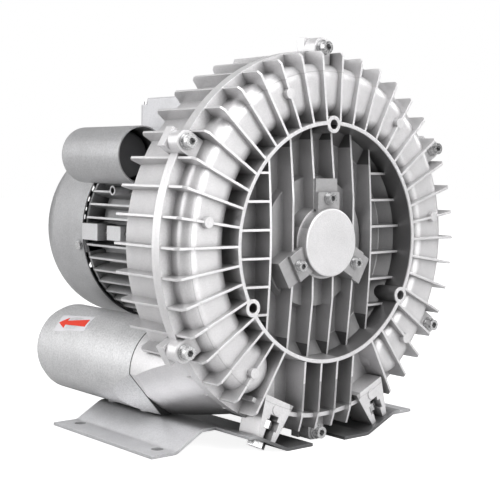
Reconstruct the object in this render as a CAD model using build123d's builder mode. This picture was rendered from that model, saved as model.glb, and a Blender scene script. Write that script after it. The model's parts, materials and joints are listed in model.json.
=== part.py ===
from build123d import *
import os
from math import atan2, cos, degrees, radians, sin, tan

# Side channel blower. +Z is up, the shaft runs along Y and the cover faces -Y.
# The origin is on the floor, at the middle of the foot-hole pattern.
# Places along the shaft are measured from the joint face between cover and casing,
# positive towards the motor, and places across it from the shaft axis.

# ---- driving dimensions (mm) ----
SHAFT_H = 165.0  # shaft axis above the floor
JOINT_Y = -89.0  # joint face between cover and casing

# Casing and cover
FLANGE_R = 155.5  # outer radius of the joint flange
FLANGE_T = 5.0  # thickness of each half of the flange
SCREW_R = 158.0  # pitch radius of the flange screws
SCREW_ANGLES = [90, 150, 210, 270, 330, 30]
LUG_R = 8.5  # radius of each screw lug
COVER_LUG_T = 12.5  # depth of a lug on the cover
CASING_LUG_T = 8.5  # depth of a lug on the casing
FLOOR_GAP = 0.6  # the lowest lug ends level, this far above the floor
FIN_COUNT = 42
FIN_T = 2.0
FIN_STEP = 360 / FIN_COUNT
FIN_R = 154.6  # outer radius of the fins
FIN_FRONT = 25.0  # how far the fins' corners stand in front of the joint
WALL = 4.0  # general casting wall
BULGE_OUT = 145.5  # outer radius of the channel bulge
BULGE_IN = 102.0  # inner radius of the channel bulge
BULGE_DEPTH = 22.0  # how far the bulge stands in front of the joint
BULGE_ROUND = 11.0  # corner radius of the bulge
STRIPPER_HALF = 30.0  # half angle of the sector without a channel
RING_R = 98.4  # outer radius of the inner ring
RING_T = 3.0
RING_FRONT = 28.0  # how far the ring stands in front of the joint
BOSS_ANGLES = [90, 210, 330]
BOSS_PITCH = 95.7  # pitch radius of the three ring bosses
BOSS_R = 7.0
BOSS_HOLE_R = 4.0
BOSS_HOLE_DEPTH = 18.0
DISH_FRONT = -1.0  # front face of the dish floor, behind the joint
DISH_BACK = -4.5  # rear face of the dish floor
RIB_PITCH = 22.5  # pitch of the rib grid in the dish
RIB_T = 2.0
RIB_FRONT = 18.0  # rib height in front of the joint, near the hub
RIB_RIM = 12.5  # the same next to the ring
PAD_FINS = (9, 2, -5, -10, -16, -26)  # fins that carry an ejector pad
PAD_R = 4.2
PAD_PITCH = 127.0
PAD_FRONT = 27.0
HUB_R = 30.0  # outer radius of the bearing hub
HUB_FRONT = 18.5
CAP_SCREW_R = 36.0
CAP_LUG_FRONT = 20.5
CAP_R = 28.0
CAP_FRONT = 27.5
DRUM_REAR = 66.0  # rear face of the casing drum
DRUM_OUT = 146.0  # drum radius at the flange
DRUM_END = 143.5  # drum radius at the rear
CASING_FIN_END = 60.0  # rear tips of the casing fins
CASING_FIN_ROOT = 140.7  # inner end of the casing fins, inside the drum wall
BORE_R = 141.5  # bore that the impeller runs in
BORE_DEPTH = 36.0
CHANNEL_IN = 107.0
CHANNEL_OUT = 139.5
CHANNEL_REAR = 61.0
NECK_R = 82.0  # neck that carries the motor
NECK_END = 104.0
NECK_FLANGE_R = 87.0

# Silencers and feet
SIL_X = 89.0  # silencer axis, to each side of the shaft
SIL_Z = -108.3  # silencer axis, below the shaft
SIL_R = 39.2
SIL_WALL = 3.5
SEAM = 73.0  # joint between the casing duct and the silencer
GASKET_T = 1.2
DUCT_REACH = 170.5  # farthest the duct reaches from the shaft, at the seam
FLAT_ANGLE = 40.2  # direction of the flat on the duct's outer lower side
FLAT_DIST = 30.4  # flat from the silencer axis, at the seam
FLAT_END = 106.0  # where the flat has run out into the silencer tube
SIL_END = 223.0
COLLAR_END = 231.0
COLLAR_R = 37.0
PORT_R = 29.8  # G2 female port, major radius of the thread
PORT_DEPTH = 18.0
PLATE_T = 2.5  # foot plate thickness
CREST = SHAFT_H + SIL_Z - SIL_R - 0.5  # top of the foot's crest, above the floor
FOOT_EDGE = 147.0  # outer edge of each foot, from the middle
FOOT_BEND = 123.0  # where the floor flange starts to rise
CREST_OUT = 98.0
CREST_IN = 78.0
SLOPE_END = 46.0  # where the inner slope meets the floor again
FOOT_IN = 18.0  # inner edge of each foot
FOOT_TIP = -28.5  # front edge of the inner tongue
FOOT_FRONT = 15.0  # front edge of the outer flange
TONGUE_OUT = 86.0  # outer edge of the inner tongue
FOOT_REAR = 163.0
HOLE_X = 130.0  # foot holes, from the middle
HOLE_SPACING = 115.0
HOLE_R = 5.0
SLOPE = (CREST - PLATE_T) / (CREST_IN - SLOPE_END)
LUG_TILT = degrees(atan2(SLOPE, 1))  # the foot lugs stand square to the slope
LUG_FRONT = 24.0  # front face of the foot lugs, before the joint
BOLT_FRONT = 14.0  # foot bolt axis, before the joint
BOLT_X = 64.0  # where the foot bolt crosses the plate
M8_R = 4.0
M6_R = 3.0
FOOT_SCREWS = (100.0, 150.0)  # places of the screws into each silencer
CORE_R = 27.0  # perforated tube inside each silencer
CORE_FRONT = 80.0
FOAM_FRONT = 108.0
CORE_REAR = 206.0
NUT_AF = 13.0
NUT_H = 6.5
NUT_UP = 12.0  # middle of the nut above the plate, along the bolt

# Shaft, bearings and impeller
BRG_BORE = 10.0
BRG_OUT = 23.5
BRG_W = 14.0
BALL_R = 3.97
BALL_PITCH = 16.75
BALL_COUNT = 8
FRONT_BRG = -17.0  # front face of the cover bearing
REAR_BRG = 199.0  # front face of the motor's rear bearing
SHAFT_FRONT = -17.0
SHAFT_END = 263.0
IMP_FRONT = 3.0
IMP_REAR = 33.0
IMP_R = 140.0
BLADE_IN = 108.0
BLADE_COUNT = 48
BLADE_T = 2.4
HUB_BORE = 12.0  # impeller bore
KEY_W = 6.0
KEY_FRONT = 8.0
KEY_REAR = 30.0
SEAL_R = 14.0  # shaft radius under the seal and the rotor
SEAL_FRONT = 40.0
FAN_BORE = 8.5
FAN_FRONT = 229.0
FAN_REAR = 258.0

# Motor
STATOR_R = 62.0
FRAME_R = 70.0
FRAME_FIN_R = 84.5
FRAME_END = 200.0
FRAME_FIN_END = 212.0  # the fins stand out behind the frame's barrel
SHIELD_R = 68.0
SHIELD_T = 8.0
STATOR_FRONT = 118.0
STATOR_REAR = 186.0
ROTOR_R = 36.0
AIR_GAP = 0.5
SLOT_COUNT = 24
SLOT_OUT = 52.0
SLOT_W = 5.5
TIE_R = 79.0
TIE_ANGLES = (180, 300, 60)
TIE_ROD_R = 2.5
TIE_LUG_FRONT = 182.0
ROD_GUIDE = (152.0, 174.0)  # front and rear of each guide for a tie bolt
SIDE_BOSS = (92.0, 156.0, 38.5)  # reach from the shaft, place along it, height over it
SIDE_BOSS_R = 4.3
BRACKET_ANGLE = 144.0
COVER_SCREW_ANGLE = 189.0
COVER_SCREW_Y = 220.0
COVER_R = 87.0  # fan cover
COVER_FRONT = 214.0
COVER_ROUND = 34.0
COVER_REAR = 301.0
SHEET = 1.2
CAN_R = 24.8
CAN_X = -96.3
CAN_Z = 69.5
CAN_FRONT = 103.0
CAN_REAR = 196.0
CAPACITOR_R = 20.0
BOX_HALF = 48.0
BOX_FRONT = 106.0
BOX_REAR = 179.0
BOX_BASE = 80.0
BOX_TOP = 122.0
BOX_SPLIT = 95.0  # joint between base and lid
BOX_SCREWS = (84.0, 61.0)
NOTCH = 6.0  # how deep the lid's corners are cut for the screws
GLAND_R = 6.0  # cable gland: outer radius of its thread
GLAND_HOLE_R = 4.0
CAP_LUG_T = 3.0


def across(y):
    """Plane square to the shaft, y behind the joint face, facing the front."""
    return Plane((0, JOINT_Y + y, SHAFT_H), x_dir=(1, 0, 0), z_dir=(0, -1, 0))


def radial(angle):
    """Plane through the shaft: local x is the radius, local y runs to the motor."""
    c, s = cos(radians(angle)), sin(radians(angle))
    return Plane((0, JOINT_Y, SHAFT_H), x_dir=(c, 0, s), z_dir=(-s, 0, c))


def polar(radius, angle):
    return (radius * cos(radians(angle)), radius * sin(radians(angle)))


SECTION = radial(0)
SPIN = Axis((0, JOINT_Y, SHAFT_H), (0, -1, 0))


def profile(*points, plane=SECTION):
    """Closed profile of (radius, place along the shaft)."""
    with BuildSketch(plane) as face:
        with BuildLine():
            Polyline(*points, close=True)
        make_face()
    return face.sketch


def disc(y, radius, centre=(0, 0)):
    with BuildSketch(across(y)) as face:
        with Locations(centre):
            Circle(radius)
    return face.sketch


def annulus(y, outer, inner, centre=(0, 0)):
    with BuildSketch(across(y)) as face:
        with Locations(centre):
            Circle(outer)
            Circle(inner, mode=Mode.SUBTRACT)
    return face.sketch


def fin_star(y, inner, outer, count=FIN_COUNT, width=FIN_T, start=90 + FIN_STEP / 2):
    """Radial bars, evenly spaced round the shaft."""
    with BuildSketch(across(y)) as star:
        with PolarLocations((inner + outer) / 2, count, start_angle=start):
            Rectangle(outer - inner, width)
    return star.sketch


def cap_screw(y, centre, shank_r, head_r, head_h, length, socket_r):
    """Socket-head screw with its captive washer; y is the seat of the washer."""
    washer = head_h / 4
    with BuildPart() as screw:
        extrude(disc(y, head_r * 1.25, centre), amount=washer)
        extrude(disc(y - washer, head_r, centre), amount=head_h)
        extrude(disc(y + length, shank_r, centre), amount=length)
        with BuildSketch(across(y - washer - head_h)):
            with Locations(centre):
                RegularPolygon(socket_r, 6)
        extrude(amount=-head_h * 0.6, mode=Mode.SUBTRACT)
    return screw.part


# ---- cover and casing ----


def bulge_profile(inset, front, round_r, back):
    """Half-open section of the channel bulge, rounded at its two front corners."""
    with BuildSketch(SECTION) as section:
        with BuildLine():
            Polyline(
                (BULGE_IN + inset, back),
                (BULGE_IN + inset + 4, -front),
                (BULGE_OUT - inset - 1.5, -front),
                (BULGE_OUT - inset, back),
                close=True,
            )
        make_face()
        fillet(section.vertices().group_by(Axis.Y)[0], round_r)
    return section.sketch


def bulge_end(centre, half_w, front, round_r, back):
    """Round end of the bulge: a turned knob as wide as the bulge."""
    base = Plane((centre[0], JOINT_Y, SHAFT_H + centre[1]))
    with BuildPart() as knob:
        with BuildSketch(base) as section:
            with BuildLine():
                Polyline(
                    (0, back),
                    (half_w, back),
                    (half_w - 1.5, -front),
                    (0, -front),
                    close=True,
                )
            make_face()
            fillet(section.vertices().group_by(Axis.Y)[0].sort_by(Axis.X)[-1], round_r)
        revolve(axis=Axis(base.origin, (0, 1, 0)))
    return knob.part


def bulge(inset, front, round_r, back=0):
    """Channel bulge with rounded ends, either side of the stripper."""
    mid_r = (BULGE_OUT + BULGE_IN) / 2
    half_w = (BULGE_OUT - BULGE_IN) / 2 - inset
    start = -90 + STRIPPER_HALF + 9
    with BuildPart() as body:
        section = bulge_profile(inset, front, round_r, back).rotate(SPIN, start)
        revolve(section, axis=SPIN, revolution_arc=-2 * start + 180)
        for angle in (start, 180 - start):
            add(bulge_end(polar(mid_r, angle), half_w, front, round_r, back))
    return body.part


def front_cover():
    with BuildPart() as lugs:
        for angle in SCREW_ANGLES:
            with BuildSketch(across(0)):
                with Locations(polar(SCREW_R, angle)):
                    Circle(LUG_R)
                with Locations(polar(SCREW_R - LUG_R, angle)):
                    Rectangle(2 * LUG_R, 2 * LUG_R, rotation=angle)
            extrude(amount=COVER_LUG_T)
        for angle in BOSS_ANGLES:
            extrude(disc(0, BOSS_R, polar(BOSS_PITCH, angle)), amount=RING_FRONT)
            with BuildSketch(across(0)):
                with Locations(polar(CAP_SCREW_R + 3.5, angle)):
                    Rectangle(25, 23.6, rotation=angle)
            extrude(amount=CAP_LUG_FRONT)
        for number in PAD_FINS:
            angle = 90 + FIN_STEP / 2 + number * FIN_STEP
            pad = disc(2 - BULGE_DEPTH, PAD_R, polar(PAD_PITCH, angle))
            extrude(pad, amount=PAD_FRONT - BULGE_DEPTH + 2)
    with BuildPart() as holes:
        extrude(disc(-3, BRG_OUT), amount=30)
        extrude(disc(-HUB_FRONT, CAP_R + 0.3), amount=10)
        for angle in SCREW_ANGLES:
            extrude(disc(1, 3.3, polar(SCREW_R, angle)), amount=30)
        for angle in BOSS_ANGLES:
            bottom = BOSS_HOLE_DEPTH - RING_FRONT
            extrude(disc(bottom, BOSS_HOLE_R, polar(BOSS_PITCH, angle)), amount=30)
            extrude(disc(-8, 2.5, polar(CAP_SCREW_R, angle)), amount=20)
    with BuildPart() as cover:
        # Flange, land, ring, dish and bearing hub in one turned section.
        section = profile(
            (13, -DISH_BACK),
            (13, -3),
            (BRG_OUT, -3),
            (BRG_OUT, -HUB_FRONT),
            (HUB_R, -HUB_FRONT),
            (HUB_R + 1, -6),
            (54, -5.5),
            (56, -DISH_FRONT),
            (84, -DISH_FRONT),
            (RING_R - RING_T - 1, -7),
            (RING_R - RING_T, -RING_FRONT),
            (RING_R, -RING_FRONT),
            (RING_R + 1, -FLANGE_T),
            (FLANGE_R, -FLANGE_T),
            (FLANGE_R, 0),
            (96, 0),
            (92, -DISH_BACK),
        )
        revolve(section, axis=SPIN)
        outside = [bulge(0, BULGE_DEPTH, BULGE_ROUND), cover_fins(), dish_ribs()]
        add(outside + [stripper_ribs(), foot_lug(-1), foot_lug(1), lugs.part])
        hollow = bulge(WALL, BULGE_DEPTH - WALL, 8, back=1)
        add([hollow, holes.part, below_floor()], mode=Mode.SUBTRACT)
    return cover.part


def below_floor():
    """Slab that cuts the lowest screw lug level."""
    with BuildPart() as slab:
        with BuildSketch(Plane.XY.offset(FLOOR_GAP)):
            with Locations((0, JOINT_Y)):
                Rectangle(6 * LUG_R, 6 * LUG_R)
        extrude(amount=-LUG_R)
    return slab.part


def cover_fins():
    """Fins from the flange over the bulge to the inner ring."""
    with BuildPart() as fins:
        extrude(fin_star(-1, RING_R - 1, FIN_R), amount=40)
        outline = profile(
            (RING_R - 1, -1),
            (RING_R - 1, -RING_FRONT),
            (FIN_R - 3, -FIN_FRONT - 0.5),
            (FIN_R, -FIN_FRONT + 2.5),
            (FIN_R, -1),
        )
        revolve(outline, axis=SPIN, mode=Mode.INTERSECT)
        # None stands in the stripper sector.
        with BuildSketch(across(0)):
            with BuildLine():
                Polyline(
                    (0, 0),
                    polar(200, 270 - STRIPPER_HALF + 3),
                    polar(200, 270 + STRIPPER_HALF - 3),
                    close=True,
                )
            make_face()
        extrude(amount=40, mode=Mode.SUBTRACT)
    return fins.part


def dish_ribs():
    """Rib grid in the dish: full-height uprights, short bars beside them."""
    inner_r = RING_R - RING_T + 0.5
    with BuildPart() as ribs:
        with BuildSketch(across(3)):
            with GridLocations(RIB_PITCH, 1, 6, 1):
                Rectangle(RIB_T, 2 * inner_r)
            for side in (-1, 1):
                with Locations((side * 2.5 * RIB_PITCH + side * 20, 0)):
                    with GridLocations(1, RIB_PITCH, 1, 6):
                        Rectangle(40, RIB_T)
        extrude(amount=30)
        outline = profile(
            (HUB_R - 2, 3),
            (HUB_R - 2, -RIB_FRONT),
            (48, -RIB_FRONT),
            (inner_r, -RIB_RIM),
            (inner_r, 3),
        )
        revolve(outline, axis=SPIN, mode=Mode.INTERSECT)
    return ribs.part


def stripper_ribs():
    """Arc rim and four upright ribs that stiffen the cover under the ring."""
    arc_in, arc_out = 140.5, 144.0
    with BuildPart() as ribs:
        with BuildSketch(across(0)) as rim:
            Circle(arc_out)
            Circle(arc_in, mode=Mode.SUBTRACT)
            with BuildLine():
                Polyline(
                    (0, 0),
                    polar(200, 270 - STRIPPER_HALF - 2),
                    polar(200, 270 + STRIPPER_HALF + 2),
                    close=True,
                )
            make_face(mode=Mode.INTERSECT)
        extrude(amount=20)
        with BuildSketch(Plane.YZ):
            with BuildLine():
                Polyline(
                    (JOINT_Y - 2, SHAFT_H - 95),
                    (JOINT_Y - RING_FRONT, SHAFT_H - 95),
                    (JOINT_Y - FIN_FRONT, SHAFT_H - 140),
                    (JOINT_Y - FIN_FRONT + 4, SHAFT_H - 153),
                    (JOINT_Y - 2, SHAFT_H - 153),
                    close=True,
                )
            make_face()
        upright = extrude(amount=FIN_T / 2, both=True, mode=Mode.PRIVATE)
        with Locations(*[(x, 0, 0) for x in (-27, -9, 9, 27)]):
            add(upright)
        revolve(
            profile((0, 0), (RING_R - 2, 0), (RING_R - 2, -40), (0, -40)),
            axis=SPIN,
            mode=Mode.SUBTRACT,
        )
    return ribs.part


def on_slope(side, up=0.0):
    """Point on the foot bolt's axis, up from the plate, in across() coordinates."""
    t = radians(LUG_TILT)
    top = SLOPE * (BOLT_X - SLOPE_END) + PLATE_T / cos(t) - SHAFT_H
    return (side * (BOLT_X - up * sin(t)), top + up * cos(t))


def lug_plane(side, y):
    """Front-facing plane with its origin on the plate and local y up the lug."""
    x, z = on_slope(side)
    t = side * radians(LUG_TILT)
    origin = (x, JOINT_Y + y, SHAFT_H + z)
    return Plane(origin, x_dir=(cos(t), 0, sin(t)), z_dir=(0, -1, 0))


def foot_lug(side):
    """Tapered lug that stands on the foot's inner slope, slotted for a nut."""
    length, half_end, half_root = 33.0, 9.5, 16.0
    with BuildPart() as lug:
        with BuildSketch(lug_plane(side, 0)):
            with BuildLine():
                Polyline(
                    (-half_end, 0),
                    (half_end, 0),
                    (half_root, length),
                    (-half_root, length),
                    close=True,
                )
            make_face()
        extrude(amount=LUG_FRONT)
        with BuildSketch(lug_plane(side, -LUG_FRONT)):
            with Locations((0, 25)):
                Circle(4.5)
        extrude(amount=0.8)
        with BuildSketch(lug_plane(side, -BOLT_FRONT + NUT_AF / 2 + 1)):
            with Locations((0, NUT_UP)):
                Rectangle(NUT_AF + 1, NUT_H + 1.5)
        extrude(amount=LUG_FRONT, mode=Mode.SUBTRACT)
        with BuildSketch(lug_plane(side, -BOLT_FRONT + M8_R + 0.5)):
            Rectangle(2 * M8_R + 1, 2 * NUT_UP + 16)
        extrude(amount=LUG_FRONT, mode=Mode.SUBTRACT)
    return lug.part


def tube_face(side, y, radius, flat):
    """Round face on a silencer's axis, cut off straight at its outer lower side."""
    tilt = 180 + FLAT_ANGLE if side < 0 else -FLAT_ANGLE
    out = polar(flat + radius, tilt)
    with BuildSketch(across(y)) as face:
        with Locations((side * SIL_X, SIL_Z)):
            Circle(radius)
        with Locations((side * SIL_X + out[0], SIL_Z + out[1])):
            Rectangle(2 * radius, 3 * radius, rotation=tilt, mode=Mode.SUBTRACT)
    return face.sketch


def flat_cut(side, inset):
    """Wedge outside the flat, which runs out into the round tube behind the seam."""
    tilt = radians(180 + FLAT_ANGLE if side < 0 else -FLAT_ANGLE)
    centre = (side * SIL_X, JOINT_Y, SHAFT_H + SIL_Z)
    slice_plane = Plane(centre, x_dir=(cos(tilt), 0, sin(tilt)), z_dir=(-sin(tilt), 0, cos(tilt)))
    with BuildPart() as wedge:
        with BuildSketch(slice_plane):
            with BuildLine():
                Polyline(
                    (FLAT_DIST - inset, SEAM - 5),
                    (FLAT_DIST - inset, SEAM),
                    (SIL_R - inset, FLAT_END),
                    (SIL_R + 20, FLAT_END),
                    (SIL_R + 20, SEAM - 5),
                    close=True,
                )
            make_face()
        extrude(amount=SIL_R + 10, both=True)
    return wedge.part


def duct(side, inset, front):
    """Duct from the channel to the silencer, sloped off towards the flange."""
    with BuildPart() as body:
        end = tube_face(side, SEAM, SIL_R - inset, FLAT_DIST - inset)
        extrude(end, amount=SEAM - front)
        limit = profile(
            (60, FLANGE_T),
            (FLANGE_R - 4 - inset, FLANGE_T),
            (DUCT_REACH - inset, SEAM),
            (DUCT_REACH - inset, SEAM + 1),
            (60, SEAM + 1),
        )
        revolve(limit, axis=SPIN, mode=Mode.INTERSECT)
    return body.part


def casing_fins():
    """Fins along the drum, with rounded-off rear corners."""
    with BuildPart() as fins:
        star = fin_star(CASING_FIN_END, CASING_FIN_ROOT - 1, FIN_R)
        extrude(star, amount=CASING_FIN_END)
        outline = profile(
            (CASING_FIN_ROOT, 0),
            (FIN_R, 0),
            (FIN_R, CASING_FIN_END - 3),
            (FIN_R - 3, CASING_FIN_END),
            (CASING_FIN_ROOT, CASING_FIN_END - 2),
        )
        revolve(outline, axis=SPIN, mode=Mode.INTERSECT)
    return fins.part


def impeller_room():
    """Bore for the impeller and the side channel, which the stripper interrupts."""
    with BuildPart() as room:
        extrude(disc(BORE_DEPTH, BORE_R), amount=BORE_DEPTH + 1)
        section = profile(
            (CHANNEL_IN, BORE_DEPTH - 1),
            (CHANNEL_IN, BORE_DEPTH),
            (CHANNEL_IN + 5, CHANNEL_REAR),
            (CHANNEL_OUT - 5, CHANNEL_REAR),
            (CHANNEL_OUT, BORE_DEPTH),
            (CHANNEL_OUT, BORE_DEPTH - 1),
        )
        start = 270 + STRIPPER_HALF
        revolve(section.rotate(SPIN, start), axis=SPIN, revolution_arc=360 - 2 * STRIPPER_HALF)
    return room.part


def rear_casing():
    with BuildPart() as lugs:
        for angle in SCREW_ANGLES:
            with BuildSketch(across(CASING_LUG_T)):
                with Locations(polar(SCREW_R - LUG_R / 2, angle)):
                    Rectangle(3 * LUG_R, 2 * LUG_R, rotation=angle)
            extrude(amount=CASING_LUG_T)
    with BuildPart() as holes:
        extrude(disc(SEAM + 1, 16 + 1), amount=SEAM)
        for angle in SCREW_ANGLES:
            extrude(disc(CASING_LUG_T + 1, M6_R, polar(SCREW_R, angle)), amount=20)
        for angle in TIE_ANGLES:
            extrude(disc(NECK_END + 1, TIE_ROD_R + 0.05, polar(TIE_R, angle)), amount=10)
    with BuildPart() as casing:
        section = profile(
            (24, 0),
            (FLANGE_R, 0),
            (FLANGE_R, FLANGE_T),
            (DRUM_OUT, FLANGE_T),
            (DRUM_END, DRUM_REAR - 9),
            (DRUM_END - 9, DRUM_REAR),
            (CHANNEL_IN - 3, DRUM_REAR),
            (CHANNEL_IN - 8, BORE_DEPTH + 8),
            (NECK_R + 4, BORE_DEPTH + 8),
            (NECK_R, NECK_END - 12),
            (NECK_FLANGE_R, NECK_END - 8),
            (NECK_FLANGE_R, NECK_END),
            (FRAME_R - 4, NECK_END),
            (FRAME_R - 4, BORE_DEPTH + 8),
            (30, BORE_DEPTH + 8),
            (30, BORE_DEPTH + 16),
            (24, BORE_DEPTH + 16),
        )
        revolve(section, axis=SPIN)
        add([casing_fins(), duct(-1, 0, FLANGE_T), duct(1, 0, FLANGE_T), lugs.part])
        bores = [duct(side, SIL_WALL + 2, BORE_DEPTH + 4) for side in (-1, 1)]
        add(bores + [holes.part, impeller_room(), below_floor()], mode=Mode.SUBTRACT)
    return casing.part


def casing_gasket(side):
    with BuildPart() as gasket:
        extrude(tube_face(side, SEAM + GASKET_T, SIL_R, FLAT_DIST), amount=GASKET_T)
        hole = tube_face(side, SEAM + GASKET_T, SIL_R - 6, FLAT_DIST - 6)
        extrude(hole, amount=GASKET_T, mode=Mode.SUBTRACT)
    return gasket.part


# ---- silencers ----


def silencer(side):
    """Tube with a threaded port at the rear and two bosses for the foot screws."""
    centre = (side * SIL_X, SIL_Z)
    base = Plane((centre[0], JOINT_Y, SHAFT_H + centre[1]))
    front, inner_r = SEAM + GASKET_T, SIL_R - SIL_WALL
    with BuildPart() as hollow:
        with BuildSketch(base):
            with BuildLine():
                Polyline(
                    (0, front - 1),
                    (inner_r, front - 1),
                    (inner_r, COLLAR_END - PORT_DEPTH - 4),
                    (PORT_R, COLLAR_END - PORT_DEPTH),
                    (PORT_R, COLLAR_END + 1),
                    (0, COLLAR_END + 1),
                    close=True,
                )
            make_face()
        revolve(axis=Axis(base.origin, (0, 1, 0)))
        add(flat_cut(side, SIL_WALL), mode=Mode.SUBTRACT)
    with BuildPart() as body:
        with BuildSketch(base) as section:
            with BuildLine():
                Polyline(
                    (0, front),
                    (SIL_R, front),
                    (SIL_R, SIL_END),
                    (COLLAR_R, SIL_END + 1),
                    (COLLAR_R, COLLAR_END),
                    (0, COLLAR_END),
                    close=True,
                )
            make_face()
            fillet(section.vertices().filter_by_position(Axis.Y, SIL_END, SIL_END), 2)
            fillet(section.vertices().sort_by(Axis.Y)[-2:].sort_by(Axis.X)[-1], 3)
        revolve(axis=Axis(base.origin, (0, 1, 0)))
        add(flat_cut(side, 0), mode=Mode.SUBTRACT)
        add(hollow.part, mode=Mode.SUBTRACT)
        with BuildSketch(Plane((centre[0], JOINT_Y, CREST))):
            with Locations(*[(0, y) for y in FOOT_SCREWS]):
                Circle(9)
        extrude(amount=4.2)
        with BuildSketch(Plane((centre[0], JOINT_Y, CREST))):
            with Locations(*[(0, y) for y in FOOT_SCREWS]):
                Circle(M6_R)
        extrude(amount=6, mode=Mode.SUBTRACT)
    return body.part


def core_tube(side):
    """Perforated tube that the air runs through inside the silencer."""
    centre = (side * SIL_X, SIL_Z)
    length = CORE_REAR - CORE_FRONT
    middle = Plane((centre[0], JOINT_Y + CORE_FRONT, SHAFT_H + centre[1]))
    with BuildPart() as core:
        extrude(annulus(CORE_REAR, CORE_R, CORE_R - 1.5, centre), amount=length)
        for turn in (0, 90):
            with BuildSketch(middle.rotated((0, turn, 0))):
                with Locations((0, length / 2)):
                    with GridLocations(1, length / 4, 1, 4):
                        SlotOverall(length / 5, 8, rotation=90)
            extrude(amount=CORE_R + 2, both=True, mode=Mode.SUBTRACT)
    return core.part


def foam_sleeve(side):
    centre = (side * SIL_X, SIL_Z)
    with BuildPart() as foam:
        ring = annulus(CORE_REAR - 2, SIL_R - SIL_WALL - 0.3, CORE_R + 0.2, centre)
        extrude(ring, amount=CORE_REAR - 2 - FOAM_FRONT)
        # Room for the inner ends of the foot screws.
        with BuildSketch(Plane((centre[0], JOINT_Y, CREST))):
            with Locations(*[(0, y) for y in FOOT_SCREWS]):
                Circle(10)
        extrude(amount=6.5, mode=Mode.SUBTRACT)
    return foam.part


# ---- feet ----


def foot(side):
    """Bent plate: floor flange, S-bend to a crest, straight slope to the inner flange."""
    with BuildPart() as plate:
        with BuildSketch(Plane.XZ.offset(-JOINT_Y - FOOT_REAR)):
            with BuildLine():
                FilletPolyline(
                    (side * FOOT_EDGE, 0),
                    (side * FOOT_BEND, 0),
                    (side * CREST_OUT, CREST - PLATE_T),
                    (side * CREST_IN, CREST - PLATE_T),
                    (side * SLOPE_END, 0),
                    (side * FOOT_IN, 0),
                    radius=9,
                )
                offset(amount=PLATE_T, side=Side.RIGHT if side > 0 else Side.LEFT)
            make_face()
        extrude(amount=FOOT_REAR - FOOT_TIP)
        # The outer half starts behind the casing flange; only the tongue goes on.
        with BuildSketch():
            with Locations((side * (FOOT_EDGE + TONGUE_OUT) / 2, JOINT_Y + (FOOT_FRONT + FOOT_TIP) / 2)):
                Rectangle(FOOT_EDGE - TONGUE_OUT + 2, FOOT_FRONT - FOOT_TIP)
        extrude(amount=CREST + 5, mode=Mode.SUBTRACT)
        with BuildSketch():
            with Locations((side * HOLE_X, 0)):
                with GridLocations(1, HOLE_SPACING, 1, 2):
                    Circle(HOLE_R)
            with Locations(*[(side * SIL_X, JOINT_Y + y) for y in FOOT_SCREWS]):
                Circle(M6_R + 0.4)
        extrude(amount=CREST + 5, mode=Mode.SUBTRACT)
        with BuildSketch(bolt_plane(side)):
            Circle(M8_R + 0.5)
        extrude(amount=10, both=True, mode=Mode.SUBTRACT)
    return plate.part


def bolt_plane(side):
    """Plane on the upper face of the plate, square to the foot bolt."""
    x, z = on_slope(side)
    t = radians(LUG_TILT)
    origin = (x, JOINT_Y - BOLT_FRONT, SHAFT_H + z)
    return Plane(origin, x_dir=(0, 1, 0), z_dir=(-side * sin(t), 0, cos(t)))


def foot_bolt(side):
    with BuildPart() as bolt:
        with BuildSketch(bolt_plane(side).offset(-PLATE_T)):
            RegularPolygon(NUT_AF / 2, 6, major_radius=False)
        extrude(amount=-5.3)
        with BuildSketch(bolt_plane(side).offset(-PLATE_T)):
            Circle(M8_R)
        extrude(amount=PLATE_T + NUT_UP + NUT_H / 2 + 3)
    return bolt.part


def foot_nut(side):
    with BuildPart() as nut:
        with BuildSketch(bolt_plane(side).offset(NUT_UP - NUT_H / 2)):
            RegularPolygon(NUT_AF / 2, 6, major_radius=False)
            Circle(M8_R, mode=Mode.SUBTRACT)
        extrude(amount=NUT_H)
    return nut.part


def foot_screws(side):
    """Two hex screws from under the crest into the silencer's bosses."""
    places = [(side * SIL_X, JOINT_Y + y) for y in FOOT_SCREWS]
    under = Plane.XY.offset(CREST - PLATE_T)
    with BuildPart() as screws:
        with BuildSketch(under):
            with Locations(*places):
                RegularPolygon(5, 6, major_radius=False)
        extrude(amount=-4)
        with BuildSketch(under):
            with Locations(*places):
                Circle(M6_R)
        extrude(amount=PLATE_T + 5)
    return screws.part


# ---- rotor and bearings ----


def shaft():
    with BuildPart() as body:
        section = profile(
            (0, SHAFT_FRONT),
            (BRG_BORE, SHAFT_FRONT),
            (BRG_BORE, FRONT_BRG + BRG_W),
            (HUB_BORE, FRONT_BRG + BRG_W),
            (HUB_BORE, IMP_REAR),
            (SEAL_R, IMP_REAR),
            (SEAL_R, REAR_BRG),
            (BRG_BORE, REAR_BRG),
            (BRG_BORE, REAR_BRG + BRG_W + 2),
            (FAN_BORE, REAR_BRG + BRG_W + 2),
            (FAN_BORE, SHAFT_END),
            (0, SHAFT_END),
        )
        revolve(section, axis=SPIN)
        # Keyway for the impeller.
        with BuildSketch(across(KEY_REAR)):
            with Locations((0, HUB_BORE)):
                Rectangle(KEY_W, KEY_W)
        extrude(amount=KEY_REAR - KEY_FRONT, mode=Mode.SUBTRACT)
    return body.part


def impeller_key():
    with BuildPart() as key:
        with BuildSketch(across(KEY_REAR)):
            with Locations((0, HUB_BORE)):
                Rectangle(KEY_W, KEY_W)
        extrude(amount=KEY_REAR - KEY_FRONT)
    return key.part


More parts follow.
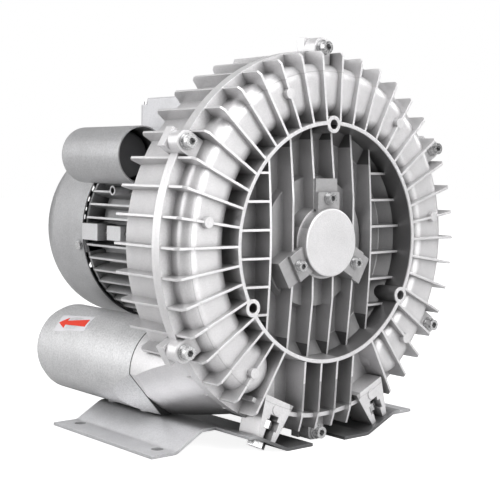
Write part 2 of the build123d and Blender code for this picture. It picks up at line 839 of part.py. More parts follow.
def impeller():
    """Wheel with a row of radial blades on each side of its web."""
    middle = (IMP_FRONT + IMP_REAR) / 2
    with BuildPart() as wheel:
        extrude(fin_star(IMP_REAR, BLADE_IN - 2, IMP_R, BLADE_COUNT, BLADE_T, 0), amount=IMP_REAR - IMP_FRONT)
        section = profile(
            (HUB_BORE, IMP_FRONT + 3),
            (28, IMP_FRONT + 3),
            (30, middle - 5),
            (BLADE_IN - 6, middle - 3),
            (BLADE_IN - 4, IMP_FRONT),
            (BLADE_IN, IMP_FRONT),
            (BLADE_IN + 8, middle - 2),
            (IMP_R, middle - 1.5),
            (IMP_R, middle + 1.5),
            (BLADE_IN + 8, middle + 2),
            (BLADE_IN, IMP_REAR),
            (BLADE_IN - 4, IMP_REAR),
            (BLADE_IN - 6, middle + 3),
            (30, middle + 5),
            (28, IMP_REAR),
            (HUB_BORE, IMP_REAR),
        )
        revolve(section, axis=SPIN)
        # Keyway, and four balance holes in the web.
        with BuildSketch(across(IMP_REAR + 1)):
            with Locations((0, HUB_BORE)):
                Rectangle(KEY_W, KEY_W)
            with PolarLocations(65, 4, start_angle=45):
                Circle(8)
        extrude(amount=IMP_REAR + 1, mode=Mode.SUBTRACT)
    return wheel.part


def clip(y, groove_r, outer_r):
    """Open retaining ring on the shaft, in front of y."""
    with BuildPart() as ring:
        with BuildSketch(across(y)):
            Circle(outer_r)
            Circle(groove_r, mode=Mode.SUBTRACT)
            with Locations((0, -outer_r)):
                Rectangle(6, outer_r, mode=Mode.SUBTRACT)
        extrude(amount=1.5)
    return ring.part


def bearing_ring(y, inner_r, outer_r):
    """One ring of a ball bearing, with its ball groove."""
    centre = (BALL_PITCH, y + BRG_W / 2)
    with BuildPart() as ring:
        with BuildSketch(SECTION):
            with Locations(((inner_r + outer_r) / 2, y + BRG_W / 2)):
                Rectangle(outer_r - inner_r, BRG_W)
            with Locations(centre):
                Circle(BALL_R + 0.08, mode=Mode.SUBTRACT)
        revolve(axis=SPIN)
    return ring.part


def bearing_balls(y):
    """Balls with the cage that keeps them apart."""
    with BuildPart() as cage:
        extrude(annulus(y + BRG_W / 2 + 2, BALL_PITCH + 1.2, BALL_PITCH - 1.2), amount=4)
        with Locations(across(y + BRG_W / 2)):
            with PolarLocations(BALL_PITCH, BALL_COUNT):
                Sphere(BALL_R)
    return cage.part


def shaft_seal():
    with BuildPart() as seal:
        section = profile(
            (24, SEAL_FRONT),
            (24, SEAL_FRONT + 8),
            (16, SEAL_FRONT + 8),
            (SEAL_R + 0.1, SEAL_FRONT + 3),
            (SEAL_R + 0.1, SEAL_FRONT + 1.5),
            (17, SEAL_FRONT),
        )
        revolve(section, axis=SPIN)
    return seal.part


def bearing_cap():
    """Flat round cap over the cover bearing, on three screw lugs."""
    spigot = HUB_FRONT - 1.3
    with BuildPart() as cap:
        extrude(disc(-spigot, BRG_OUT - 0.2), amount=CAP_FRONT - spigot)
        extrude(disc(-HUB_FRONT, CAP_R), amount=CAP_FRONT - HUB_FRONT)
        edge = cap.edges().filter_by(GeomType.CIRCLE).group_by(Axis.Y)[0]
        fillet(edge, 1.5)
        with BuildSketch(across(-CAP_LUG_FRONT)):
            for angle in BOSS_ANGLES:
                with Locations(polar(CAP_SCREW_R - 5.5, angle)):
                    Rectangle(21, 23.6, rotation=angle)
        extrude(amount=CAP_LUG_T)
        with BuildSketch(across(-FRONT_BRG - 20)):
            with PolarLocations(CAP_SCREW_R, 3, start_angle=90):
                Circle(2.8)
        extrude(amount=40, mode=Mode.SUBTRACT)
    return cap.part


# ---- motor ----


def side_boss_plane():
    """End face of the small boss below the capacitor can, facing away from the shaft."""
    reach, y, height = SIDE_BOSS
    return Plane((-reach, JOINT_Y + y, SHAFT_H + height), z_dir=(-1, 0, 0))


def motor_frame():
    """Finned stator frame with the terminal-box seat and the capacitor's boss."""
    with BuildPart() as fins:
        star = fin_star(FRAME_FIN_END, FRAME_R - 2, FRAME_FIN_R)
        extrude(star, amount=FRAME_FIN_END - NECK_END)
        outline = profile(
            (FRAME_R - 1, NECK_END + 2),
            (FRAME_FIN_R, NECK_END + 12),
            (FRAME_FIN_R, FRAME_FIN_END),
            (FRAME_FIN_R - 9, FRAME_FIN_END),
            (FRAME_R - 1, FRAME_END - 4),
        )
        revolve(outline, axis=SPIN, mode=Mode.INTERSECT)
        with BuildSketch(across(BOX_REAR + 2)):
            with Locations((0, BOX_BASE + 10)):
                Rectangle(2 * BOX_HALF + 2, 21)
        extrude(amount=FRAME_END, mode=Mode.SUBTRACT)
        with BuildSketch(across(FRAME_FIN_END + 1)):
            with PolarLocations(TIE_R, 3, start_angle=180):
                Circle(6.5)
        extrude(amount=FRAME_FIN_END, mode=Mode.SUBTRACT)
        with BuildSketch(across(FRAME_FIN_END + 1)):
            with PolarLocations(TIE_R + 1, 3, start_angle=180):
                Rectangle(24, 17)
        extrude(amount=FRAME_FIN_END - TIE_LUG_FRONT + 7, mode=Mode.SUBTRACT)
    with BuildPart() as frame:
        extrude(annulus(FRAME_END, FRAME_R, STATOR_R), amount=FRAME_END - NECK_END)
        add(fins.part)
        with BuildSketch(across(BOX_REAR - 4)):
            with Locations((0, (BOX_BASE + FRAME_R - 8) / 2)):
                Rectangle(64, BOX_BASE - FRAME_R + 8)
        extrude(amount=BOX_REAR - NECK_END - 8)
        with BuildSketch(across(ROD_GUIDE[1])):
            with PolarLocations(TIE_R - 2, 3, start_angle=180):
                Rectangle(18, 13)
        extrude(amount=ROD_GUIDE[1] - ROD_GUIDE[0])
        with BuildSketch(side_boss_plane()):
            Circle(SIDE_BOSS_R)
        extrude(amount=-(SIDE_BOSS[0] - STATOR_R + 4))
        extrude(disc(FRAME_END, STATOR_R), amount=FRAME_END, mode=Mode.SUBTRACT)
        with BuildSketch(radial(BRACKET_ANGLE)):
            with Locations((FRAME_R + 13, (CAN_FRONT + CAN_REAR) / 2)):
                Rectangle(30, 40)
        extrude(amount=9, both=True)
        saddle = disc(CAN_REAR + 1, CAN_R + 0.02, (CAN_X, CAN_Z))
        extrude(saddle, amount=CAN_REAR, mode=Mode.SUBTRACT)
        with BuildSketch(across(ROD_GUIDE[1] + 1)):
            with PolarLocations(TIE_R, 3, start_angle=180):
                Circle(TIE_ROD_R + 0.2)
        extrude(amount=FRAME_END, mode=Mode.SUBTRACT)
        with BuildSketch(side_boss_plane()):
            Circle(SIDE_BOSS_R - 1.5)
        extrude(amount=-8, mode=Mode.SUBTRACT)
        # Wire passage into the terminal box.
        with BuildSketch(Plane((0, JOINT_Y + (BOX_FRONT + BOX_REAR) / 2, SHAFT_H + BOX_BASE))):
            Circle(9)
        extrude(amount=-25, mode=Mode.SUBTRACT)
    return frame.part


def stator_core():
    with BuildPart() as core:
        with BuildSketch(across(STATOR_REAR)):
            Circle(STATOR_R)
            Circle(ROTOR_R + AIR_GAP, mode=Mode.SUBTRACT)
            with PolarLocations((ROTOR_R + SLOT_OUT) / 2 + 1, SLOT_COUNT):
                Rectangle(SLOT_OUT - ROTOR_R - 2, SLOT_W, mode=Mode.SUBTRACT)
            with PolarLocations(ROTOR_R + 1, SLOT_COUNT):
                Rectangle(6, 2.2, mode=Mode.SUBTRACT)
        extrude(amount=STATOR_REAR - STATOR_FRONT)
    return core.part


def windings():
    """Coil bundles: bars through the slots and a ring of end turns at each end."""
    gap = 0.3
    with BuildPart() as coils:
        with BuildSketch(across(STATOR_REAR + gap)):
            with PolarLocations((ROTOR_R + SLOT_OUT) / 2 + 2, SLOT_COUNT):
                Rectangle(SLOT_OUT - ROTOR_R - 6, SLOT_W - 2 * gap)
        extrude(amount=STATOR_REAR - STATOR_FRONT + 2 * gap)
        for front, rear in (
            (STATOR_FRONT - 13, STATOR_FRONT - gap),
            (STATOR_REAR + gap, STATOR_REAR + 10),
        ):
            turns = profile(
                (ROTOR_R + 6, front + 2),
                (ROTOR_R + 8, front),
                (SLOT_OUT, front),
                (SLOT_OUT + 2, front + 2),
                (SLOT_OUT + 2, rear - 2),
                (SLOT_OUT, rear),
                (ROTOR_R + 8, rear),
                (ROTOR_R + 6, rear - 2),
            )
            revolve(turns, axis=SPIN)
    return coils.part


def rotor_core():
    """Laminated rotor with a cast end ring at each end."""
    with BuildPart() as core:
        section = profile(
            (SEAL_R, STATOR_FRONT),
            (20, STATOR_FRONT),
            (22, STATOR_FRONT - 6),
            (ROTOR_R - 2, STATOR_FRONT - 6),
            (ROTOR_R, STATOR_FRONT),
            (ROTOR_R, STATOR_REAR),
            (ROTOR_R - 2, STATOR_REAR + 6),
            (22, STATOR_REAR + 6),
            (20, STATOR_REAR),
            (SEAL_R, STATOR_REAR),
        )
        revolve(section, axis=SPIN)
    return core.part


def end_shield():
    """Rear end shield: bearing seat, tie-bolt lugs and lugs for the fan cover."""
    seat = REAR_BRG + BRG_W
    with BuildPart() as shield:
        section = profile(
            (11, seat + 1),
            (BRG_OUT, seat + 1),
            (BRG_OUT, REAR_BRG - 2),
            (BRG_OUT + 5, REAR_BRG - 2),
            (BRG_OUT + 6, FRAME_END),
            (STATOR_R - 3, FRAME_END),
            (STATOR_R - 3, FRAME_END - 4),
            (STATOR_R, FRAME_END - 4),
            (STATOR_R, FRAME_END),
            (SHIELD_R, FRAME_END),
            (SHIELD_R, FRAME_END + SHIELD_T),
            (STATOR_R, FRAME_END + SHIELD_T),
            (BRG_OUT + 5, FRAME_END + 5),
            (BRG_OUT + 5, seat + 4),
            (11, seat + 4),
        )
        revolve(section, axis=SPIN)
        # Arms that pass behind the frame's fins to the fan cover's screws.
        arm_in, arm_out = STATOR_R - 10, COVER_R - SHEET - 0.3
        with BuildSketch(across(COVER_SCREW_Y + 4)):
            with PolarLocations((arm_in + arm_out) / 2, 3, start_angle=COVER_SCREW_ANGLE):
                Rectangle(arm_out - arm_in, 14)
        extrude(amount=COVER_SCREW_Y + 4 - FRAME_END - 2)
        behind_fins = FRAME_FIN_END + 1
        extrude(annulus(behind_fins, 200, SHIELD_R), amount=20, mode=Mode.SUBTRACT)
        # Square lugs for the tie bolts.
        with BuildSketch(across(FRAME_END + SHIELD_T)):
            with PolarLocations(TIE_R + 3, 3, start_angle=180):
                Rectangle(18, 15)
        extrude(amount=FRAME_END + SHIELD_T - TIE_LUG_FRONT)
        with BuildSketch(across(FRAME_END + SHIELD_T)):
            with PolarLocations((SHIELD_R + TIE_R) / 2 - 2, 3, start_angle=180):
                Rectangle(TIE_R - SHIELD_R + 8, 15)
        extrude(amount=SHIELD_T)
        with BuildSketch(across(FRAME_END + 30)):
            with PolarLocations(TIE_R, 3, start_angle=180):
                Circle(TIE_ROD_R + 0.2)
        extrude(amount=60, mode=Mode.SUBTRACT)
        for k in range(3):
            plane = radial(COVER_SCREW_ANGLE + 120 * k)
            hole = Plane(plane.from_local_coords((60, COVER_SCREW_Y, 0)), z_dir=plane.x_dir)
            with BuildSketch(hole):
                Circle(2.2)
            extrude(amount=40, mode=Mode.SUBTRACT)
    return shield.part


def fan_cover_screws():
    """Three pan-head screws that hold the fan cover to the end shield."""
    with BuildPart() as screws:
        for k in range(3):
            plane = radial(COVER_SCREW_ANGLE + 120 * k)
            centre = plane.from_local_coords((COVER_R, COVER_SCREW_Y, 0))
            seat = Plane(centre, z_dir=plane.x_dir)
            with BuildSketch(seat):
                Circle(4.2)
            extrude(amount=2.6)
            with BuildSketch(seat):
                Circle(2.2)
            extrude(amount=-8)
    return screws.part


def tie_bolt(angle):
    """Long bolt from the end shield's lug into the casing neck, with a lock nut."""
    seat = FRAME_END + SHIELD_T
    with BuildPart() as bolt:
        with BuildSketch(across(seat)):
            with Locations(polar(TIE_R, angle)):
                RegularPolygon(3.5, 6, major_radius=False, rotation=angle)
        extrude(amount=-4)
        with BuildSketch(across(TIE_LUG_FRONT)):
            with Locations(polar(TIE_R, angle)):
                RegularPolygon(4, 6, major_radius=False, rotation=angle)
        extrude(amount=4.5)
        extrude(disc(seat, TIE_ROD_R, polar(TIE_R, angle)), amount=seat - NECK_END + 8)
    return bolt.part


def motor_fan():
    with BuildPart() as fan:
        with BuildSketch(across(FAN_REAR)):
            with PolarLocations(48, 9):
                Rectangle(52, 2.2)
        extrude(amount=FAN_REAR - FAN_FRONT)
        outline = profile(
            (20, FAN_FRONT),
            (74, FAN_FRONT),
            (74, FAN_REAR - 10),
            (50, FAN_REAR),
            (20, FAN_REAR),
        )
        revolve(outline, axis=SPIN, mode=Mode.INTERSECT)
        hub = profile(
            (FAN_BORE, FAN_FRONT),
            (74, FAN_FRONT),
            (74, FAN_FRONT + 2.5),
            (24, FAN_FRONT + 4),
            (16, FAN_REAR),
            (FAN_BORE, FAN_REAR),
        )
        revolve(hub, axis=SPIN)
    return fan.part


def fan_cover():
    """Drawn sheet cover with a ring of slots in its rear face."""
    with BuildPart() as cover:
        with BuildSketch(SECTION) as section:
            with BuildLine():
                Line((COVER_R, COVER_FRONT), (COVER_R, COVER_REAR - COVER_ROUND))
                corner = RadiusArc(
                    (COVER_R, COVER_REAR - COVER_ROUND),
                    (COVER_R - COVER_ROUND, COVER_REAR),
                    -COVER_ROUND,
                )
                Line(corner @ 1, (0, COVER_REAR))
                offset(amount=SHEET, side=Side.LEFT)
            make_face()
        revolve(axis=SPIN)
        with BuildSketch(across(COVER_REAR + 1)):
            with PolarLocations(37, 24):
                SlotOverall(26, 4.5)
        extrude(amount=6, mode=Mode.SUBTRACT)
        for k in range(3):
            plane = radial(COVER_SCREW_ANGLE + 120 * k)
            hole = Plane(plane.from_local_coords((60, COVER_SCREW_Y, 0)), z_dir=plane.x_dir)
            with BuildSketch(hole):
                Circle(2.4)
            extrude(amount=40, mode=Mode.SUBTRACT)
    return cover.part


# ---- terminal box and capacitor ----


def box_plane(z):
    return Plane((0, JOINT_Y + (BOX_FRONT + BOX_REAR) / 2, SHAFT_H + z))


def box_outline(z, inset=0.0):
    with BuildSketch(box_plane(z)) as outline:
        RectangleRounded(2 * (BOX_HALF - inset), BOX_REAR - BOX_FRONT - 2 * inset, 5 - inset / 2)
    return outline.sketch


def terminal_base():
    with BuildPart() as base:
        extrude(box_outline(BOX_BASE), amount=BOX_SPLIT - BOX_BASE)
        extrude(box_outline(BOX_BASE + 3, 3), amount=BOX_SPLIT, mode=Mode.SUBTRACT)
        with BuildSketch(box_plane(BOX_BASE + 3)):
            with GridLocations(*BOX_SCREWS, 2, 2):
                Circle(5)
        extrude(amount=BOX_SPLIT - BOX_BASE - 3)
        with BuildSketch(box_plane(BOX_BASE + 3)):
            with GridLocations(*BOX_SCREWS, 2, 2):
                Circle(2)
        extrude(amount=BOX_SPLIT, mode=Mode.SUBTRACT)
        with BuildSketch(box_plane(BOX_BASE - 1)):
            Circle(9)
        extrude(amount=6, mode=Mode.SUBTRACT)
        # Gland hole in the side away from the capacitor.
        with BuildSketch(gland_plane()):
            Circle(GLAND_R)
        extrude(amount=-10, mode=Mode.SUBTRACT)
    return base.part


def terminal_lid():
    """Deep lid whose corners are cut back for the screws."""
    with BuildPart() as lid:
        extrude(box_outline(BOX_SPLIT), amount=BOX_TOP - BOX_SPLIT)
        fillet(lid.faces().sort_by(Axis.Z)[-1].edges(), 2)
        with BuildSketch(box_plane(BOX_TOP - NOTCH)):
            with GridLocations(*BOX_SCREWS, 2, 2):
                Rectangle(13, 13)
        extrude(amount=NOTCH + 1, mode=Mode.SUBTRACT)
        with BuildSketch(box_plane(BOX_SPLIT)):
            add(box_outline(BOX_SPLIT, 3).moved(box_plane(BOX_SPLIT).location.inverse()))
            with GridLocations(*BOX_SCREWS, 2, 2):
                Rectangle(16, 16, mode=Mode.SUBTRACT)
        extrude(amount=BOX_TOP - BOX_SPLIT - 3, mode=Mode.SUBTRACT)
        with BuildSketch(box_plane(BOX_SPLIT)):
            with GridLocations(*BOX_SCREWS, 2, 2):
                Circle(2.2)
        extrude(amount=BOX_TOP, mode=Mode.SUBTRACT)
    return lid.part


def lid_screws():
    """Four pan-head screws in the lid's corner recesses."""
    with BuildPart() as screws:
        with BuildSketch(box_plane(BOX_TOP - NOTCH)):
            with GridLocations(*BOX_SCREWS, 2, 2):
                Circle(4)
        extrude(amount=3)
        with BuildSketch(box_plane(BOX_TOP - NOTCH)):
            with GridLocations(*BOX_SCREWS, 2, 2):
                Circle(2)
        extrude(amount=-(BOX_TOP - NOTCH - BOX_SPLIT + 6))
    return screws.part


def terminal_block():
    with BuildPart() as block:
        with BuildSketch(box_plane(BOX_BASE + 3)):
            with Locations((0, 20)):
                Rectangle(54, 20)
        extrude(amount=10)
        with BuildSketch(box_plane(BOX_BASE + 13)):
            with Locations((0, 20)):
                with GridLocations(9, 9, 6, 2):
                    Circle(2)
        extrude(amount=6)
    return block.part


def gland_plane():
    y = JOINT_Y + BOX_REAR - 24
    return Plane((BOX_HALF, y, SHAFT_H + (BOX_BASE + BOX_SPLIT) / 2), z_dir=(1, 0, 0))


def cable_gland():
    """Empty cable gland: body through the wall, hexagon and dome nut."""
    with BuildPart() as gland:
        with BuildSketch(gland_plane()):
            RegularPolygon(GLAND_R + 2, 6, major_radius=False)
        extrude(amount=5)
        with BuildSketch(gland_plane()):
            Circle(GLAND_R + 1)
        extrude(amount=16)
        fillet(gland.faces().sort_by(Axis.X)[-1].edges(), 3)
        with BuildSketch(gland_plane()):
            Circle(GLAND_R - 0.1)
        extrude(amount=-5)
        with BuildSketch(gland_plane().offset(-6)):
            Circle(GLAND_HOLE_R)
        extrude(amount=30, mode=Mode.SUBTRACT)
    return gland.part


def capacitor_can():
    """Sheet-metal can, closed at the rear and open at the front."""
    base = Plane((CAN_X, JOINT_Y, SHAFT_H + CAN_Z))
    with BuildPart() as can:
        with BuildSketch(base) as section:
            with BuildLine():
                Polyline((CAN_R, CAN_FRONT), (CAN_R, CAN_REAR), (0, CAN_REAR))
                offset(amount=SHEET, side=Side.LEFT)
            make_face()
            fillet(section.vertices().sort_by(Axis.Y)[-2:].sort_by(Axis.X)[-1], 4)
        revolve(axis=Axis(base.origin, (0, 1, 0)))
    return can.part


def capacitor():
    """Plain capacitor on its stud inside the can."""
    centre = (CAN_X, CAN_Z)
    with BuildPart() as cell:
        extrude(disc(CAN_REAR - 8, CAPACITOR_R, centre), amount=CAN_REAR - CAN_FRONT - 30)
        fillet(cell.edges().filter_by(GeomType.CIRCLE), 2)
        extrude(disc(CAN_REAR - SHEET, 4, centre), amount=12)
    return cell.part


def wave_spring():
    """Thin washer between the rear bearing and the end shield."""
    with BuildPart() as spring:
        rear = REAR_BRG + BRG_W + 1
        extrude(annulus(rear, BRG_OUT - 0.5, BALL_PITCH + 3), amount=1)
    return spring.part


def keep(piece, name):
    piece.label = name
    export_step(piece, f"parts/{name}.step")


def main():
    os.makedirs("parts", exist_ok=True)
    keep(front_cover(), "front_cover")
    keep(rear_casing(), "rear_casing")
    for number, angle in enumerate(SCREW_ANGLES, 1):
        seat = -COVER_LUG_T
        length = COVER_LUG_T + CASING_LUG_T - 1
        screw = cap_screw(seat, polar(SCREW_R, angle), M6_R, 5.0, 6.0, length, 2.9)
        keep(screw, f"flange_screw_{number}")
    for number, angle in enumerate(BOSS_ANGLES, 1):
        seat = -CAP_LUG_FRONT - CAP_LUG_T
        screw = cap_screw(seat, polar(CAP_SCREW_R, angle), 2.4, 4.2, 4.0, 14, 2.4)
        keep(screw, f"cap_screw_{number}")
    keep(bearing_cap(), "bearing_cap")
    keep(impeller(), "impeller")
    keep(impeller_key(), "impeller_key")
    keep(clip(IMP_FRONT + 3, HUB_BORE, HUB_BORE + 3.5), "impeller_clip")
    keep(shaft(), "shaft")
    keep(shaft_seal(), "shaft_seal")
    for place, y in (("front", FRONT_BRG), ("rear", REAR_BRG)):
        keep(bearing_ring(y, BALL_PITCH + 2.6, BRG_OUT), f"{place}_bearing_outer")
        keep(bearing_ring(y, BRG_BORE, BALL_PITCH - 2.6), f"{place}_bearing_inner")
        keep(bearing_balls(y), f"{place}_bearing_balls")
    keep(wave_spring(), "wave_spring")
    keep(motor_frame(), "motor_frame")
    keep(stator_core(), "stator_core")
    keep(windings(), "windings")
    keep(rotor_core(), "rotor_core")
    keep(end_shield(), "end_shield")
    for number, angle in enumerate(TIE_ANGLES, 1):
        keep(tie_bolt(angle), f"tie_bolt_{number}")
    keep(motor_fan(), "motor_fan")
    keep(clip(FAN_REAR + 1.5, FAN_BORE, FAN_BORE + 3), "fan_clip")
    keep(fan_cover(), "fan_cover")
    keep(fan_cover_screws(), "fan_cover_screws")
    keep(terminal_base(), "terminal_base")
    keep(terminal_lid(), "terminal_lid")
    keep(lid_screws(), "lid_screws")
    keep(terminal_block(), "terminal_block")
    keep(cable_gland(), "cable_gland")
    keep(capacitor_can(), "capacitor_can")
    keep(capacitor(), "capacitor")
    for side, duty in ((-1, "outlet"), (1, "inlet")):
        keep(silencer(side), f"{duty}_silencer")
        keep(casing_gasket(side), f"{duty}_gasket")
        keep(core_tube(side), f"{duty}_core_tube")
        keep(foam_sleeve(side), f"{duty}_foam")
        keep(foot(side), f"{duty}_foot")
        keep(foot_bolt(side), f"{duty}_foot_bolt")
        keep(foot_nut(side), f"{duty}_foot_nut")
        keep(foot_screws(side), f"{duty}_foot_screws")


main()
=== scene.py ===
import json
from math import cos, pi, radians, sin

import bmesh
import bpy
from mathutils import Matrix, Vector


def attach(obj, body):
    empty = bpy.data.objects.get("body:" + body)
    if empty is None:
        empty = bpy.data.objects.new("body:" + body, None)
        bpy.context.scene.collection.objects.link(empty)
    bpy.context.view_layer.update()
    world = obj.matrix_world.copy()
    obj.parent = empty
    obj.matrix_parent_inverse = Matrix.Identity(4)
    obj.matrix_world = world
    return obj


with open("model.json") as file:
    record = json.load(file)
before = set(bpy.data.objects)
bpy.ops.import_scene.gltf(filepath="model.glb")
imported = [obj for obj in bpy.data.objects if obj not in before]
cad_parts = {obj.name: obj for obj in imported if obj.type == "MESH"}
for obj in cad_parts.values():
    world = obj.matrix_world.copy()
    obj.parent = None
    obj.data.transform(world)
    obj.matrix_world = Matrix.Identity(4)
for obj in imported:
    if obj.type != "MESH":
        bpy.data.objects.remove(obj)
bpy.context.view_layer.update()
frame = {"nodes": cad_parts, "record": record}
nodes = frame["nodes"]

MM = 0.001
SHAFT_H = 165 * MM  # shaft axis above the floor
JOINT_Y = -89 * MM  # joint face between cover and casing
SIL_X = 89 * MM  # silencer axis, to each side of the shaft
SIL_H = 56.7 * MM  # silencer axis above the floor
SIL_R = 39.2 * MM
MOULD_LINE_R = 138.5 * MM  # ring on the cover's bulge
MOULD_LINE_HALF = 0.35 * MM  # half width of that ring
BULGE_FRONT = 12 * MM  # the mould line shows farther in front of the joint than this
RING_FRONT = 28 * MM  # how far the cover's ring stands in front of the joint
DISH_R = 95.6 * MM
DISH_FLAT_R = 84.5 * MM  # the dish's floor is flat inside this radius
HUB_R = 32 * MM
PANEL_HALF = 40 * MM  # half width of the ribbed panel below the ring
PANEL_R = 140 * MM
CREST_Y = 14.2 * MM  # middle of the rib crests' places, in front of the joint
CREST_HALF = 5.2 * MM  # and how far they lie from it
SHADE_HUB = 0.38  # share of the colour that painted shade takes, beside the hub
SHADE_FLOOR = 0.43  # the same on the dish's floor
SHADE_WALL = 0.32  # painted shade added where the ring's inside faces left, away from the light
RIB_SHADE_OFF = 0.28  # painted shade taken off again on the ribs' sides
DARK_LINE = 0.2
SHADE_IN = 70 * MM  # painted shade on the feet is deepest nearer to the middle than this
SHADE_OUT = 104 * MM  # and gone outside this
# grey of the deepest painted shade on the feet
SHADE_GREY = 0.22

# ---------------------------------------------------------------- materials


def add(tree, kind, **values):
    """New shader node with its properties or input sockets set by name."""
    node = tree.nodes.new(kind)
    for key, value in values.items():
        name = key.replace("_", " ")
        if name in node.inputs:
            node.inputs[name].default_value = value
        else:
            setattr(node, key, value)
    return node


def noise(tree, scale, detail=3.0, stretch=(1, 1, 1)):
    """Noise in the frame's own metres, stretched along the axes if asked."""
    place = add(tree, "ShaderNodeTexCoord")
    mapping = add(tree, "ShaderNodeMapping", Scale=stretch)
    texture = add(tree, "ShaderNodeTexNoise", Scale=scale, Detail=detail, Roughness=0.6)
    tree.links.new(place.outputs["Object"], mapping.inputs["Vector"])
    tree.links.new(mapping.outputs["Vector"], texture.inputs["Vector"])
    return texture.outputs["Fac"]


def ramp(tree, source, stops):
    """Colour ramp over (position, colour) stops."""
    node = add(tree, "ShaderNodeValToRGB")
    elements = node.color_ramp.elements
    while len(elements) < len(stops):
        elements.new(0.5)
    for element, (position, colour) in zip(elements, stops):
        element.position = position
        element.color = (*colour, 1)
    tree.links.new(source, node.inputs["Fac"])
    return node.outputs["Color"]


def spread(tree, source, low, high):
    """Maps noise, which lies mostly between 0.3 and 0.7, to low and high."""
    node = add(tree, "ShaderNodeMapRange")
    node.inputs["From Min"].default_value = 0.3
    node.inputs["From Max"].default_value = 0.7
    node.inputs["To Min"].default_value = low
    node.inputs["To Max"].default_value = high
    tree.links.new(source, node.inputs["Value"])
    return node.outputs["Result"]


def multiply(tree, first, second):
    """Product of two colours or grey values."""
    node = add(tree, "ShaderNodeMix", data_type="RGBA", blend_type="MULTIPLY")
    node.inputs["Factor"].default_value = 1.0
    tree.links.new(first, node.inputs["A"])
    tree.links.new(second, node.inputs["B"])
    return node.outputs["Result"]


def recess_shade(tree, strength, reach):
    """Painted shade: a grey value that falls where the surface is hemmed in."""
    near = add(tree, "ShaderNodeAmbientOcclusion", Distance=reach * MM)
    near.samples = 6
    shade = add(tree, "ShaderNodeMapRange")
    shade.inputs["From Min"].default_value = 0.15
    shade.inputs["From Max"].default_value = 0.85
    shade.inputs["To Min"].default_value = 1.0 - strength
    shade.inputs["To Max"].default_value = 1.0
    tree.links.new(near.outputs["AO"], shade.inputs["Value"])
    return shade.outputs["Result"]


def calc(tree, operation, *terms):
    """Math node over sockets and plain numbers."""
    node = add(tree, "ShaderNodeMath", operation=operation)
    for slot, term in zip(node.inputs, terms):
        if isinstance(term, (int, float)):
            slot.default_value = term
        else:
            tree.links.new(term, slot)
    return node.outputs["Value"]


def cover_line_and_shade(tree):
    """Mould line round the bulge, and painted shade on the dish and between its ribs, with the rib
    crests left bright as painted highlights.
    """
    place = add(tree, "ShaderNodeTexCoord")
    split = add(tree, "ShaderNodeSeparateXYZ")
    tree.links.new(place.outputs["Object"], split.inputs["Vector"])
    facing = add(tree, "ShaderNodeSeparateXYZ")
    tree.links.new(place.outputs["Normal"], facing.inputs["Vector"])
    x, y = split.outputs["X"], split.outputs["Y"]
    z = calc(tree, "SUBTRACT", split.outputs["Z"], SHAFT_H)
    squares = calc(tree, "ADD", calc(tree, "POWER", x, 2), calc(tree, "POWER", z, 2))
    radius = calc(tree, "SQRT", squares)
    # The mould line.
    ring = calc(tree, "COMPARE", radius, MOULD_LINE_R, MOULD_LINE_HALF)
    line = calc(tree, "MULTIPLY", ring, calc(tree, "LESS_THAN", y, JOINT_Y - BULGE_FRONT))
    # The dish inside the ring, and the panel below it.
    dish = calc(tree, "LESS_THAN", radius, DISH_R)
    beside = calc(tree, "LESS_THAN", calc(tree, "ABSOLUTE", x), PANEL_HALF)
    below = calc(tree, "LESS_THAN", z, -DISH_R)
    within = calc(tree, "LESS_THAN", radius, PANEL_R)
    panel = calc(tree, "MULTIPLY", calc(tree, "MULTIPLY", beside, below), within)
    behind = calc(tree, "GREATER_THAN", y, JOINT_Y - RING_FRONT + 1.2 * MM)
    hollow = calc(tree, "MULTIPLY", calc(tree, "ADD", dish, panel), behind)
    # The front faces of the rib crests are left out of the painted shade, as painted highlights.
    forward = calc(tree, "LESS_THAN", facing.outputs["Y"], -0.8)
    crest = calc(tree, "MULTIPLY", forward, calc(tree, "COMPARE", y, JOINT_Y - CREST_Y, CREST_HALF))
    # How much painted shade each kind of face gets.
    outside_hub = calc(tree, "GREATER_THAN", radius, HUB_R)
    near_ring = calc(tree, "MULTIPLY", dish, calc(tree, "GREATER_THAN", radius, DISH_FLAT_R))
    # Painted shade on the left-facing inside of the ring, which turns away from the light.
    left = calc(tree, "LESS_THAN", facing.outputs["X"], -0.1)
    left_wall = calc(tree, "MULTIPLY", near_ring, left)
    upright = calc(tree, "GREATER_THAN", calc(tree, "ABSOLUTE", facing.outputs["X"]), 0.9)
    rib_side = calc(tree, "MULTIPLY", upright, calc(tree, "SUBTRACT", 1, near_ring))
    depth = calc(tree, "ADD", SHADE_HUB, calc(tree, "MULTIPLY", outside_hub, SHADE_FLOOR - SHADE_HUB))
    depth = calc(tree, "ADD", depth, calc(tree, "MULTIPLY", left_wall, SHADE_WALL))
    depth = calc(tree, "SUBTRACT", depth, calc(tree, "MULTIPLY", rib_side, RIB_SHADE_OFF))
    # Painted shade over the dish and the panel, except on the crests.
    shaded = calc(tree, "MULTIPLY", hollow, calc(tree, "SUBTRACT", 1, crest))
    grey = calc(tree, "SUBTRACT", 1, calc(tree, "MULTIPLY", shaded, depth))
    return calc(tree, "SUBTRACT", grey, calc(tree, "MULTIPLY", line, DARK_LINE))


def foot_shade(tree):
    """Painted shade on the inner part of a foot, which lies under the casing."""
    place = add(tree, "ShaderNodeTexCoord")
    split = add(tree, "ShaderNodeSeparateXYZ")
    tree.links.new(place.outputs["Object"], split.inputs["Vector"])
    along = calc(tree, "ABSOLUTE", split.outputs["X"])
    lit = add(tree, "ShaderNodeMapRange")
    lit.inputs["From Min"].default_value = SHADE_IN
    lit.inputs["From Max"].default_value = SHADE_OUT
    lit.inputs["To Min"].default_value = SHADE_GREY
    lit.inputs["To Max"].default_value = 1.0
    tree.links.new(along, lit.inputs["Value"])
    return lit.outputs["Result"]


